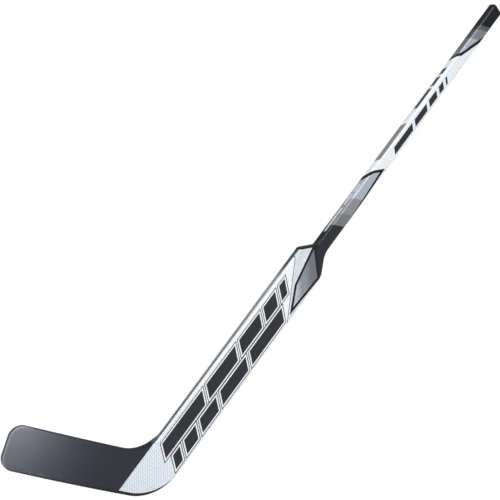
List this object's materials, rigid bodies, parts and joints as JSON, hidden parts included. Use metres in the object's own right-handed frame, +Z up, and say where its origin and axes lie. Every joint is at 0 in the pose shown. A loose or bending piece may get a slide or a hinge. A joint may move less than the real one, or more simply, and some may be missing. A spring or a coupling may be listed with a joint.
{
  "type": "hockey goalie stick",
  "caption": "Goalie stick: slim hollow shaft, wide flat laminated paddle and a curved blade with a wear strip along its sole; a ribbed plug slides out of the shaft's butt end.",
  "frame": {"origin": "on the sole, where the line of the paddle's toe-side edge meets the ice, with the stick in playing position", "axes": "+Z up from the ice, -X along the sole towards the blade's toe, -Y out of the decorated front face; the shaft leans 23 degrees towards +X"},
  "size_m": [0.8684, 0.0346, 1.2884],
  "materials": {
    "paddle_laminate": "white composite laminate with a fine printed weave and charcoal bands, satin lacquer",
    "edge_laminate": "dark edge strip between the laminates",
    "blade_laminate": "charcoal carbon-look laminate, satin",
    "sole_wear": "black abrasion-resistant strip",
    "shaft_laminate": "white laminate tube with charcoal and grey bands, satin lacquer",
    "plug_plastic": "moulded black plastic, fine grain",
    "foam": "rigid closed-cell foam",
    "stiffener_wood": "sanded hardwood, unfinished"
  },
  "bodies": {
    "stick": {"shaft_tube": "shaft_laminate", "shaft_core": "foam", "shaft_tenon": "stiffener_wood", "shaft_end_socket": "shaft_laminate", "paddle_front_skin": "paddle_laminate", "paddle_back_skin": "paddle_laminate", "toe_side_rail": "edge_laminate", "heel_side_rail": "edge_laminate", "paddle_spine": "stiffener_wood", "paddle_core_toe_side": "foam", "paddle_core_heel_side": "foam", "heel_block": "stiffener_wood", "blade_edge_band": "blade_laminate", "blade_front_skin": "blade_laminate", "blade_back_skin": "blade_laminate", "blade_core_lower": "foam", "blade_core_upper": "foam", "blade_rib": "stiffener_wood", "sole_strip": "sole_wear"},
    "butt_plug": {"butt_plug": "plug_plastic"}
  },
  "joints": [
    {"name": "plug_slide", "type": "slide", "parent": "stick", "child": "butt_plug", "axis": [0.3907, 0, 0.9205], "range_m": [0, 0.04]}
  ]
}
